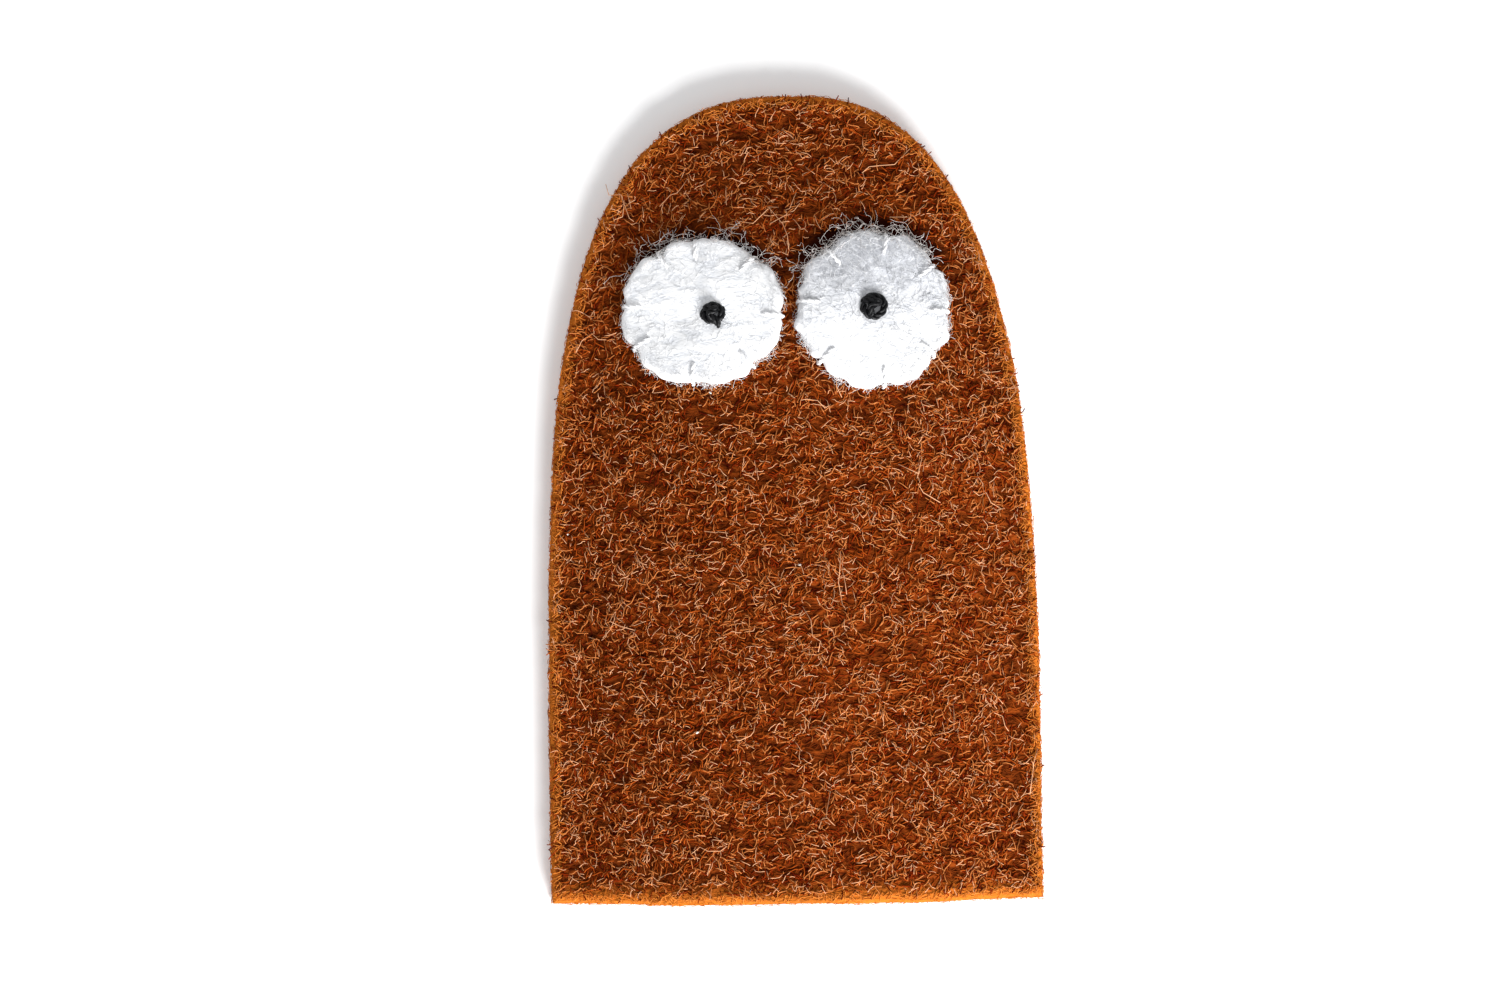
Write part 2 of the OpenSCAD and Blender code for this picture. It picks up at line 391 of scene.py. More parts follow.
def felt_group():
    """Felt surface pattern, shared by brown and white felt: matted fibres over pits."""
    group = bpy.data.node_groups.new("felt_surface", "ShaderNodeTree")
    group.interface.new_socket(name="Place", in_out="INPUT", socket_type="NodeSocketVector")
    add_inputs(group, "NodeSocketFloat", {"Fibre Scale": 1500.0, "Stretch": 4.0, "Tangle": 0.0012})
    for label in ("Fibre", "Pit", "Cloud", "Height"):
        group.interface.new_socket(name=label, in_out="OUTPUT", socket_type="NodeSocketFloat")
    entry, leave = group.nodes.new("NodeGroupInput"), group.nodes.new("NodeGroupOutput")
    place = entry.outputs["Place"]
    shift = vectors(group, "SUBTRACT", noise(group, place, 420.0, 2.0).outputs["Color"],
                    (0.5, 0.5, 0.5))
    tangled = vectors(group, "ADD", place, vectors(group, "SCALE", shift, entry.outputs["Tangle"]))
    size = add_node(group, "ShaderNodeCombineXYZ", {
        "X": entry.outputs["Stretch"], "Y": 1.0, "Z": 1.0}).outputs[0]
    # Four lays of fibres in different directions, the first the strongest.
    layers = []
    for turn in (0.0, 0.55, -0.6, 1.5):
        lay = add_node(group, "ShaderNodeMapping",
                       {"Vector": tangled, "Rotation": (0.0, 0.0, turn), "Scale": size,
                        "Location": (0.011 * turn, 0.007 * turn, 0.0)}, vector_type="TEXTURE")
        level = noise(group, lay.outputs[0], entry.outputs["Fibre Scale"], 1.5).outputs["Fac"]
        fold = maths(group, "ABSOLUTE", maths(group, "SUBTRACT", level, 0.5))
        layers.append(maths(group, "SUBTRACT", 1.0, maths(group, "MULTIPLY", fold, 7.0), clamp=True))
    first = maths(group, "MAXIMUM", layers[0], maths(group, "MULTIPLY", layers[1], 0.9))
    second = maths(group, "MAXIMUM", maths(group, "MULTIPLY", layers[2], 0.9),
                   maths(group, "MULTIPLY", layers[3], 0.65))
    fibre = maths(group, "MAXIMUM", first, second)
    clump = noise(group, vectors(group, "MULTIPLY", place, CLUMP_SHAPE), CLUMP_SCALE, 1.0)
    gap = maths(group, "SUBTRACT", 0.54, clump.outputs["Fac"])
    open_share = maths(group, "SUBTRACT", 1.0, maths(group, "MULTIPLY", fibre, 0.6))
    pit = maths(group, "MULTIPLY", maths(group, "MULTIPLY", gap, 7.0, clamp=True), open_share,
                clamp=True)
    height = maths(group, "SUBTRACT", maths(group, "MULTIPLY", fibre, 0.6),
                   maths(group, "MULTIPLY", pit, 0.8))
    cloud = noise(group, place, 130.0, 3.0, 0.55).outputs["Fac"]
    for label, value in (("Fibre", fibre), ("Pit", pit), ("Cloud", cloud), ("Height", height)):
        group.links.new(value, leave.inputs[label])
    return group


FELT_GROUP = felt_group()


def felt_material(name, pit, body, fibre, edge, wear_and_painted_shade, relief, scale, stretch):
    """Matted felt: pits darkened with painted shade, mid mass, lighter fibres, a pale cut edge that is
    partly a painted highlight, and painted shade where the points store it.
    """
    paint, tree, shader = new_paint(name, {"Specular IOR Level": 0.02})
    felt = add_node(tree, "ShaderNodeGroup",
                    {"Fibre Scale": scale, "Stretch": stretch,
                     "Place": stored(tree, "rest").outputs["Vector"]}, node_tree=FELT_GROUP)
    mass = mix_colour(tree, felt.outputs["Fibre"], body, fibre)
    # Painted shade in the pits between fibre clumps, where the bump sinks.
    dug = mix_colour(tree, felt.outputs["Pit"], mass, pit)
    # Pale cut edge: partly its own colour, partly a painted highlight where light catches the rim.
    rim = map_range(tree, stored(tree, "from_edge").outputs["Fac"], PALE_START, PALE_END, 0.85, 0.0)
    toned = mix_colour(tree, rim, dug, edge)
    # Painted shade and shadow from the points' stored share: above the eyes, and on an eye's upper part.
    greyed = mix_colour(tree, stored(tree, "wear_and_painted_shade").outputs["Fac"], toned, wear_and_painted_shade)
    shade = map_range(tree, felt.outputs["Cloud"], 0.3, 0.7, 0.78, 1.15)
    tree.links.new(vectors(tree, "SCALE", greyed, shade), shader.inputs["Base Color"])
    rough = map_range(tree, felt.outputs["Fibre"], 0.0, 1.0, 0.98, 0.84)
    tree.links.new(rough, shader.inputs["Roughness"])
    add_bump(tree, shader, felt.outputs["Height"], 0.9, relief)
    return paint


def bend_with_finger(piece):
    """The piece bends where the finger's joint is, between the base and the head."""
    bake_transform(piece, "base", "head", start=(0, BEND_START * MM, 0), end=(0, BEND_END * MM, 0))


brown_felt = felt_material(
    "brown_felt", BROWN_PIT, BROWN_BODY, BROWN_FIBRE, BROWN_EDGE, BROWN_PAINTED_SHADOW, 0.00030, 1500.0, 4.0)


def back_top(x, y):
    return FELT_T + GLUE_CLEAR + hand_waves(x, y, 5, 26, 0.04)


def back_bottom(x, y):
    return BACK_CLEAR + hand_waves(x, y, 6, 22, 0.05)


back_plan = panel_plan(BACK_SEED, BACK_SLACK)
back_panel = felt_sheet("back_panel", back_plan, back_top, back_bottom, brown_felt)
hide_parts("back_panel_lower", "back_panel_upper")
bend_with_finger(back_panel)

# ---------------------------------------------------------------- Seam glue
# A flat bead of fabric glue between the panels, down both sides and over the crown.
# It sets clear and slightly rubbery, and stops short of the cut edge.
front_low, front_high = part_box("front_panel_lower")
SEAM_Z = front_low[2] / MM
GLUE_OUT = 0.6
GLUE_IN = 2.9
GLUE_STOP = 0.9


def uneven_group():
    """Uneven colour and fine relief, shared by glue, loose fibres, thread and floss."""
    group = bpy.data.node_groups.new("uneven_finish", "ShaderNodeTree")
    group.interface.new_socket(name="Place", in_out="INPUT", socket_type="NodeSocketVector")
    add_inputs(group, "NodeSocketFloat", {"Patch Scale": 600.0, "Grain Scale": 4000.0})
    entry, leave = group.nodes.new("NodeGroupInput"), group.nodes.new("NodeGroupOutput")
    for label, detail in (("Patch", 2.0), ("Grain", 3.0)):
        group.interface.new_socket(name=label, in_out="OUTPUT", socket_type="NodeSocketFloat")
        cloud = noise(group, entry.outputs["Place"], entry.outputs[label + " Scale"], detail)
        group.links.new(map_range(group, cloud.outputs["Fac"], 0.32, 0.68), leave.inputs[label])
    return group


UNEVEN_GROUP = uneven_group()


def uneven_material(name, low, high, roughness, relief, patch, grain, finish):
    """A material between two colours and between two roughnesses."""
    paint, tree, shader = new_paint(name, finish)
    cloud = add_node(tree, "ShaderNodeGroup",
                     {"Patch Scale": patch, "Grain Scale": grain,
                      "Place": stored(tree, "rest").outputs["Vector"]}, node_tree=UNEVEN_GROUP)
    colour = mix_colour(tree, cloud.outputs["Patch"], low + (1.0,), high + (1.0,))
    tree.links.new(colour, shader.inputs["Base Color"])
    rough = map_range(tree, cloud.outputs["Grain"], 0.0, 1.0, *roughness)
    tree.links.new(rough, shader.inputs["Roughness"])
    add_bump(tree, shader, cloud.outputs["Grain"], 0.6, relief)
    return paint


glue_paint = uneven_material(
    "clear_glue", (0.52, 0.42, 0.27), (0.70, 0.61, 0.45), (0.22, 0.45),
    0.00004, 500.0, 2500.0, {"Coat Weight": 0.3})


def glue_bead():
    """A flattened bead between the panels; its sides wander as squeezed glue does."""
    ring, inward = cut_line(BACK_SEED, 0.0)
    side = ring[:, 1] > -HALF_H + GLUE_STOP
    ring, inward = ring[side], inward[side]
    draw = np.random.default_rng(8)
    along = np.arange(len(ring))
    squeeze = 0.25 * np.sin(along * 0.11) + 0.2 * np.sin(along * 0.29 + 1)
    squeeze += draw.normal(0, 0.04, len(ring))
    points = []
    for out, share in ((GLUE_OUT, 0.5), (GLUE_OUT + 0.15, 1.0), (GLUE_IN - 0.2, 1.0),
                       (GLUE_IN, 0.5), (GLUE_IN - 0.2, 0.0), (GLUE_OUT + 0.15, 0.0)):
        edge = squeeze if out > 1.5 else 0.3 * squeeze
        spot = ring + inward * (out + edge)[:, None]
        low = FELT_T + 0.02
        points.append(np.column_stack([spot, np.full(len(ring), low + (SEAM_Z - low) * share)]))
    count = len(ring)
    faces = []
    for k in range(6):
        nxt = (k + 1) % 6
        for i in range(count - 1):
            faces.append((k * count + i, k * count + i + 1, nxt * count + i + 1, nxt * count + i))
    faces.append(tuple(k * count for k in range(6)))
    faces.append(tuple(k * count + count - 1 for k in reversed(range(6))))
    points = np.concatenate(points)
    bead = build_piece("seam_glue", points, faces, glue_paint)
    note_points(bead.data, "rest", points * MM)
    return bead


seam_glue = glue_bead()
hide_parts("seam_glue_lower", "seam_glue_upper")
bend_with_finger(seam_glue)

# ---------------------------------------------------------------- Front panel
# The face of the puppet: the same brown felt, glued along its sides and crown.
# It arches over the finger pocket and stands open at the mouth.
SEAM_W = 3.4
POCKET_GAP = front_high[2] / MM - SEAM_Z - FELT_T
POCKET_HALF = HALF_W - SEAM_W
ROOF_R = (POCKET_HALF ** 2 + POCKET_GAP ** 2) / (2 * POCKET_GAP)
AXIS_Z = SEAM_Z + POCKET_GAP - ROOF_R
CROWN_RUN = 36.5
CROWN_R = (CROWN_RUN ** 2 + POCKET_GAP ** 2) / (2 * POCKET_GAP)
SOFT_CREASE = 1.1
MOUTH_WORN = 1.2
FRONT_SEED = 47
FRONT_SLACK = 0.05
# The eyes: width, height and middle of each felt disc, and the angles of its stitches in
# sewing order. The knot has a width and a squash, and its last turn ends at "end".
# "sag" is how far the upper half sinks, "worn" how far painted shade greys it, and
# "pressed" how far above the rim the brown felt gets painted shadow and thinner fibres.
EYE_T = 1.2
LAY = 0.05
EYE_GAP = 1.1
EYE_DROP = 22.1
EYE_Y = HALF_H - EYE_DROP
PUCKER = 0.45
PUCKER_SPREAD = 8.0
LEFT_EYE = dict(w=16.5, h=15.0, x=-(EYE_GAP + 16.5) / 2, sag=0.05, wear_and_painted_shade=0.05, painted_shade_thinning=1.9,
                pupil=(1.2, -0.3), knot=(2.85, 0.86), end=(0.50, -1.22),
                stitches=(-4, -48, -98, -152, 175, 126, 95, 45))
RIGHT_EYE = dict(w=15.6, h=16.0, x=(EYE_GAP + 15.6) / 2, sag=0.60, wear_and_painted_shade=1.0, painted_shade_thinning=2.6,
                 pupil=(-0.1, 0.2), knot=(3.2, 1.0), end=(-0.50, -1.00),
                 stitches=(173, 127, 80, 36, -2, -38, -83, -136))


def roof_height(x, y, out):
    """Height of the pocket roof moved outwards by out, easing into the flat seam."""
    x, y = np.asarray(x, float), np.asarray(y, float)
    reach = CROWN_R + out
    radius = np.where(y > 0, ROOF_R - CROWN_R + np.sqrt(np.maximum(reach ** 2 - y ** 2, 0)),
                      ROOF_R + out)
    roof = AXIS_Z + np.sqrt(np.maximum(radius ** 2 - x ** 2, 1.0))
    flat = SEAM_Z + out
    return 0.5 * (roof + flat + np.sqrt((roof - flat) ** 2 + SOFT_CREASE ** 2)) - 0.03


def front_top(x, y):
    """The outer face of the front panel, rubbed down at the mouth."""
    wear_and_painted_shade = np.clip(1 - (np.asarray(y, float) + HALF_H) / MOUTH_WORN, 0, 1)
    return roof_height(x, y, FELT_T) + hand_waves(x, y, 7, 24, 0.06) - 0.55 * wear_and_painted_shade ** 1.6


def front_bottom(x, y):
    return roof_height(x, y, 0.0) + hand_waves(x, y, 7, 24, 0.06)


def on_face(x, y, h):
    """The point h above the front panel's outer face, straight out from it."""
    d = 0.05
    slope_x = (front_top(x + d, y) - front_top(x - d, y)) / (2 * d)
    slope_y = (front_top(x, y + d) - front_top(x, y - d)) / (2 * d)
    out = np.stack([-slope_x, -slope_y, np.ones(np.shape(slope_x))], axis=-1)
    out /= np.linalg.norm(out, axis=-1)[..., None]
    base = np.stack([x, y, front_top(x, y)], axis=-1)
    return base + out * np.asarray(h, float)[..., None]


def oval(a, eye):
    """Radius of an eye's rim at angle a, in radians, without its dips."""
    return 1 / np.sqrt((2 * np.cos(a) / eye["w"]) ** 2 + (2 * np.sin(a) / eye["h"]) ** 2)


def painted_shadow_share(x, y):
    """Painted shadow above each eye, under its upper rim, 0 to 1."""
    total = np.zeros(np.shape(x))
    for eye in (LEFT_EYE, RIGHT_EYE):
        across, up = x - eye["x"], y - EYE_Y
        turn = np.arctan2(up, across)
        beyond = np.hypot(across, up) - oval(turn, eye)
        ring = np.clip((eye["painted_shade_thinning"] - beyond) / 1.3, 0, 1) * (beyond > -2.0)
        total = np.maximum(total, ring * np.clip((np.sin(turn) - 0.25) / 0.45, 0, 1))
    return total


front_plan = panel_plan(FRONT_SEED, FRONT_SLACK)
front_panel = felt_sheet("front_panel", front_plan, front_top, front_bottom, brown_felt)
points = mesh_points(front_panel.data)
# Painted shadow above the eyes: the felt there turns near-black brown.
note_points(front_panel.data, "wear_and_painted_shade", 0.97 * painted_shadow_share(points[:, 0], points[:, 1]))
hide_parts("front_panel_lower", "front_panel_upper")
bend_with_finger(front_panel)

# ---------------------------------------------------------------- Brown fuzz
# Curly loose fibres that stand on the brown felt, from near black-brown to pale tan.
# They are part of the felt itself and bend with it.


RANDOM_LOW, RANDOM_HIGH, RANDOM_FLOAT = 2, 3, 1


def new_tree(name, start, floats, whole, result):
    """A geometry node tree with named inputs, its input node and its output node."""
    tree = bpy.data.node_groups.new(name, "GeometryNodeTree")
    tree.interface.new_socket(name=start, in_out="INPUT", socket_type="NodeSocketGeometry")
    add_inputs(tree, "NodeSocketFloat", floats)
    add_inputs(tree, "NodeSocketInt", whole)
    tree.interface.new_socket(name="Material", in_out="INPUT", socket_type="NodeSocketMaterial")
    tree.interface.new_socket(name=result, in_out="OUTPUT", socket_type="NodeSocketGeometry")
    return tree, tree.nodes.new("NodeGroupInput").outputs, tree.nodes.new("NodeGroupOutput").inputs


def close_tree(tree, entry, leave, line, radius, sides, result):
    """Sweeps a round section along the lines and gives them their material."""
    ring = add_node(tree, "GeometryNodeCurvePrimitiveCircle", {
        "Resolution": sides, "Radius": radius})
    sweep = add_node(tree, "GeometryNodeCurveToMesh", {
        "Curve": line, "Fill Caps": True, "Profile Curve": ring.outputs[0]})
    plain = add_node(tree, "GeometryNodeRealizeInstances", {0: sweep.outputs[0]})
    finish = add_node(tree, "GeometryNodeSetMaterial", {
        "Geometry": plain.outputs[0], "Material": entry["Material"]})
    tree.links.new(finish.outputs[0], leave[result])


def fuzz_tree():
    """Scatters curled fibres over a surface; each one is a thin tapered tube."""
    tree, entry, leave = new_tree(
        "felt_fuzz", "Surface",
        {"Density": 1.0e6, "Length": 0.002, "Spread": 0.8, "Curl": 0.0006, "Curl Scale": 700.0,
         "Thickness": 0.00008, "Lift": 0.0001, "Clump": 0.0},
        {"Seed": 0, "Steps": 5}, "Fuzz")

    def chance(low, high, seed, ident=None):
        inputs = {RANDOM_LOW: low, RANDOM_HIGH: high, "Seed": maths(tree, "ADD", entry["Seed"], seed)}
        if ident is not None:
            inputs["ID"] = ident
        return add_node(tree, "FunctionNodeRandomValue", inputs,
                        data_type="FLOAT").outputs[RANDOM_FLOAT]

    # Density: fibres gather in clumps and thin out where a stored share asks: in the painted shadow above
    # the eyes, and off the lower part of an eye's grey painted-shade fibres.
    spot = add_node(tree, "GeometryNodeInputPosition", {}).outputs[0]
    patch = noise(tree, vectors(tree, "MULTIPLY", spot, CLUMP_SHAPE), CLUMP_SCALE, 1.0)
    gather = map_range(tree, patch.outputs["Fac"], 0.42, 0.58,
                       maths(tree, "SUBTRACT", 1.0, entry["Clump"]),
                       maths(tree, "ADD", 1.0, entry["Clump"]))
    painted_shade_thinning = add_node(tree, "GeometryNodeInputNamedAttribute", {"Name": "painted_shade_thinning"},
                       data_type="FLOAT").outputs[0]
    thinned = maths(tree, "MULTIPLY", gather, maths(tree, "SUBTRACT", 1.0, painted_shade_thinning))
    scatter = add_node(tree, "GeometryNodeDistributePointsOnFaces",
                       {"Mesh": entry["Surface"], "Seed": entry["Seed"],
                        "Density": maths(tree, "MULTIPLY", entry["Density"], thinned)})

    # Each fibre lies along the surface, mostly crosswise, and is a straight line at first.
    align = add_node(tree, "FunctionNodeAlignRotationToVector",
                     {"Vector": scatter.outputs["Normal"]}, axis="Z").outputs[0]
    swing = maths(tree, "ADD", chance(-1.0, 1.0, 11), chance(-1.0, 1.0, 23))
    spin = add_node(tree, "FunctionNodeAxisAngleToRotation",
                    {"Axis": (0.0, 0.0, 1.0),
                     "Angle": maths(tree, "MULTIPLY", swing, entry["Spread"])}).outputs[0]
    turn = add_node(tree, "FunctionNodeRotateRotation", {0: align, 1: spin},
                    rotation_space="LOCAL").outputs[0]
    line = add_node(tree, "GeometryNodeCurvePrimitiveLine", {
        "Start": (-0.5, 0.0, 0.0), "End": (0.5, 0.0, 0.0)}).outputs[0]
    cut = add_node(tree, "GeometryNodeResampleCurve", {"Curve": line, "Count": entry["Steps"]})
    size = maths(tree, "MULTIPLY", entry["Length"], chance(0.45, 1.55, 37))
    place = add_node(tree, "GeometryNodeInstanceOnPoints",
                     {"Points": scatter.outputs["Points"], "Instance": cut.outputs[0],
                      "Rotation": turn, "Scale": size})
    real = add_node(tree, "GeometryNodeRealizeInstances", {0: place.outputs[0]})

    # Curl: every fibre reads its own slice of a four-dimensional noise.
    index = add_node(tree, "GeometryNodeInputIndex", {}).outputs[0]
    own = add_node(tree, "GeometryNodeFieldOnDomain", {0: chance(0.0, 400.0, 53, index)},
                   domain="CURVE", data_type="FLOAT").outputs[0]
    where = add_node(tree, "GeometryNodeInputPosition", {}).outputs[0]
    curl = add_node(tree, "ShaderNodeTexNoise", {
        "Vector": where, "W": own, "Detail": 1.0, "Scale": entry["Curl Scale"]},
        noise_dimensions="4D").outputs["Color"]
    sway = vectors(tree, "MULTIPLY", vectors(tree, "SUBTRACT", curl, (0.5, 0.5, 0.5)),
                   (4.0, 4.0, 2.2))
    lift = add_node(tree, "ShaderNodeCombineXYZ", {"Z": entry["Lift"]}).outputs[0]
    offset = vectors(tree, "ADD", vectors(tree, "SCALE", sway, entry["Curl"]), lift)
    move = add_node(tree, "GeometryNodeSetPosition", {
        "Geometry": real.outputs[0], "Offset": offset})

    # Taper towards both ends.
    along = add_node(tree, "GeometryNodeSplineParameter", {}).outputs["Factor"]
    middle = maths(tree, "SUBTRACT", along, 0.5)
    square = maths(tree, "MULTIPLY", middle, middle)
    taper = maths(tree, "SUBTRACT", 1.0, maths(tree, "MULTIPLY", square, 2.6))
    thin = add_node(tree, "GeometryNodeSetCurveRadius", {
        "Curve": move.outputs[0], "Radius": taper}).outputs[0]
    close_tree(tree, entry, leave, thin, maths(tree, "MULTIPLY", entry["Thickness"], 0.5), 3, "Fuzz")
    return tree


FUZZ_TREE = fuzz_tree()


def fibre_paint(name, colour):
    """Loose fibres a fifth darker to a fifth lighter than a colour."""
    low, high = tuple(0.80 * c for c in colour), tuple(min(1.20 * c, 0.97) for c in colour)
    return uneven_material(
        name, low, high, (0.60, 0.80), 0.00001, 900.0, 9000.0, {"Specular IOR Level": 0.03})


MESH_PARTS = ("position", ".edge_verts", ".corner_vert", ".corner_edge", "material_index",
              "sharp_face")


def run_tree(name, start, tree, **values):
    """Runs a tree on a starting mesh and keeps the result as a plain mesh piece."""
    carrier = bpy.data.objects.new(name + "_carrier", start)
    scene.collection.objects.link(carrier)
    modifier = carrier.modifiers.new(tree.name, "NODES")
    modifier.node_group = tree
    for item in tree.interface.items_tree:
        if item.item_type == "SOCKET" and item.in_out == "INPUT" and item.name in values:
            modifier[item.identifier] = values[item.name]
    bpy.context.view_layer.update()
    done = carrier.evaluated_get(bpy.context.evaluated_depsgraph_get())
    mesh = bpy.data.meshes.new_from_object(done)
    mesh.name = name
    for extra in [a.name for a in mesh.attributes if a.name not in MESH_PARTS]:
        mesh.attributes.remove(mesh.attributes[extra])
    carrier.modifiers.remove(modifier)
    bpy.data.objects.remove(carrier)
    note_points(mesh, "rest", mesh_points(mesh) * MM)
    return add_piece(name, mesh)


def grow_fuzz(name, surface, paint, seed, **sizes):
    """Covers a surface with loose fibres."""
    return run_tree(name, surface, FUZZ_TREE, Seed=seed, Material=paint,
                    **{"Steps": 5, **sizes})


def bare_surface(name, plan, height, low=0.0, high=100.0, up=True, mouth=0.0):
    """The part of a panel's face between two distances from its cut line, for fibres."""
    ring, _, places, faces = plan
    gap = edge_distance(places, ring)
    faces = [f for f in faces if low <= gap[list(f)].mean() <= high
             and places[list(f), 1].mean() >= mouth - HALF_H]
    points = np.column_stack([places, height(places[:, 0], places[:, 1])])
    mesh = plain_mesh(name, points, [tuple(f) if up else tuple(reversed(f)) for f in faces])
    if up:
        # Fibres thin out in the painted shadow above the eyes, so the dark felt shows.
        note_points(mesh, "painted_shade_thinning", 0.96 * painted_shadow_share(places[:, 0], places[:, 1]))
    return mesh


def cut_strip(name, seed, slack, top_height, bottom_height):
    """The middle of a panel's cut edge, all the way round, for fibres."""
    ring, inward = cut_line(seed, slack)
    ring = ring - inward * 0.02
    up, down = top_height(ring[:, 0], ring[:, 1]), bottom_height(ring[:, 0], ring[:, 1])
    rows = [np.column_stack([ring, down + (up - down) * share]) for share in (0.15, 0.85)]
    count = len(ring)
    faces = [(i, (i + 1) % count, count + (i + 1) % count, count + i) for i in range(count)]
    return plain_mesh(name, np.concatenate(rows), faces)


# Tone, colour, fibres per square metre, lift, thickness and length in millimetres
BROWN_FIBRES = (
    ("dark", (0.068, 0.0036, 0.0002), 1.6e6, -0.06, 0.14, 1.2),
    ("brown", (0.180, 0.0175, 0.0010), 1.8e6, 0.02, 0.14, 1.15),
    ("russet", (0.300, 0.055, 0.0055), 1.8e6, 0.08, 0.13, 1.1),
    ("tan", (0.460, 0.150, 0.040), 1.8e6, 0.12, 0.12, 0.95),
    ("pale", (0.700, 0.360, 0.190), 0.85e6, 0.16, 0.075, 0.90),
)
face_surface = bare_surface("face_surface", front_plan, front_top, low=0.45, mouth=1.15)
rim_surface = bare_surface("rim_surface", front_plan, front_top, high=1.0)
front_fuzz = []
brown_paints = {}
for k, (tone, colour, density, lift, width, length) in enumerate(BROWN_FIBRES):
    brown_paints[tone] = fibre_paint("fibre_" + tone, colour)
    front_fuzz.append(grow_fuzz(
        "front_fuzz_" + tone, face_surface, brown_paints[tone], 100 + k,
        Density=density, Length=length * MM, Spread=1.7, Curl=0.00036,
        Thickness=width * MM, Lift=lift * MM, Clump=0.8, **{"Curl Scale": 1000.0}))
# Bright fibres on the rim and cut edges: partly their own paler colour, partly a painted highlight.
rim_fibre = fibre_paint("fibre_rim", (0.62, 0.195, 0.032))
front_fuzz.append(grow_fuzz(
    "front_fuzz_rim", rim_surface, rim_fibre, 120,
    Density=9.0e6, Length=0.0007, Spread=3.2, Curl=0.00025, Thickness=0.00008, Lift=0.00015))
front_fuzz.append(grow_fuzz(
    "front_fuzz_stray", face_surface, brown_paints["pale"], 130,
    Density=1.5e4, Length=0.0036, Spread=3.2, Curl=0.0011, Thickness=0.00009, Lift=0.00034))
CUT_FUZZ = dict(Density=1.0e7, Length=0.0006, Spread=3.2, Curl=0.00020, Thickness=0.00007)
edge_strip = cut_strip("front_strip", FRONT_SEED, FRONT_SLACK, front_top, front_bottom)
front_fuzz.append(grow_fuzz(
    "front_fuzz_cut_edge", edge_strip, rim_fibre, 122, Lift=0.0, **CUT_FUZZ))
lint_paint = fibre_paint("fibre_lint", (0.85, 0.78, 0.70))
front_fuzz.append(grow_fuzz(
    "front_fuzz_lint", face_surface, lint_paint, 131,
    Density=2.5e3, Length=0.00028, Spread=3.2, Curl=0.0, Thickness=0.00022, Lift=0.00036))
for fuzz in front_fuzz:
    bend_with_finger(fuzz)

under_surface = bare_surface(
    "under_surface", back_plan, lambda x, y: back_bottom(x, y) + 0.02, low=0.85, up=False)
for k, (tone, colour, density, lift, width, length) in enumerate(BROWN_FIBRES[1:3]):
    fuzz = grow_fuzz("back_fuzz_" + tone, under_surface, brown_paints[tone], 140 + k,
                     Density=1.2e6, Length=0.0015, Spread=1.5, Curl=0.0003,
                     Thickness=width * MM, Lift=-0.00003)
    points = mesh_points(fuzz.data) * MM
    points[:, 2] = np.maximum(points[:, 2], 0.00001)
    fuzz.data.vertices.foreach_set("co", points.ravel())
    bend_with_finger(fuzz)

edge_strip = cut_strip("back_strip", BACK_SEED, BACK_SLACK, back_top, back_bottom)
edge_fuzz = grow_fuzz("back_fuzz_cut_edge", edge_strip, rim_fibre, 144, Lift=0.00005, **CUT_FUZZ)
bend_with_finger(edge_fuzz)

# ---------------------------------------------------------------- Felt eyes
# Two discs cut from white craft felt and laid on the front panel.
# The whip stitches pull the rim in, so each disc bulges between them.
HOLE_OUT = 0.35
STITCH_LEN = 2.2
STITCH_PRESS = 0.10
KNOT_PRESS = 0.14
DISC_SPOKES = 240
DISC_RINGS = 34

# The first colour darkens the pits as painted shade; the fifth is painted shade for the greyed upper part of
# an eye.
white_felt = felt_material(
    "white_felt", (0.80, 0.82, 0.86, 1.0), (0.95, 0.955, 0.965, 1.0),
    (0.98, 0.98, 0.985, 1.0), (0.97, 0.97, 0.98, 1.0),
    (0.70, 0.71, 0.74, 1.0), 0.00005, 1400.0, 3.0)


def dip(a, eye):
    """How far the stitches pull the rim in at angle a, in radians."""
    deepest = np.zeros(np.shape(a))
    for s in eye["stitches"]:
        apart = (np.degrees(a) - s + 540) % 360 - 180
        deepest = np.maximum(deepest, np.exp(-(apart / PUCKER_SPREAD) ** 2))
    return PUCKER * deepest


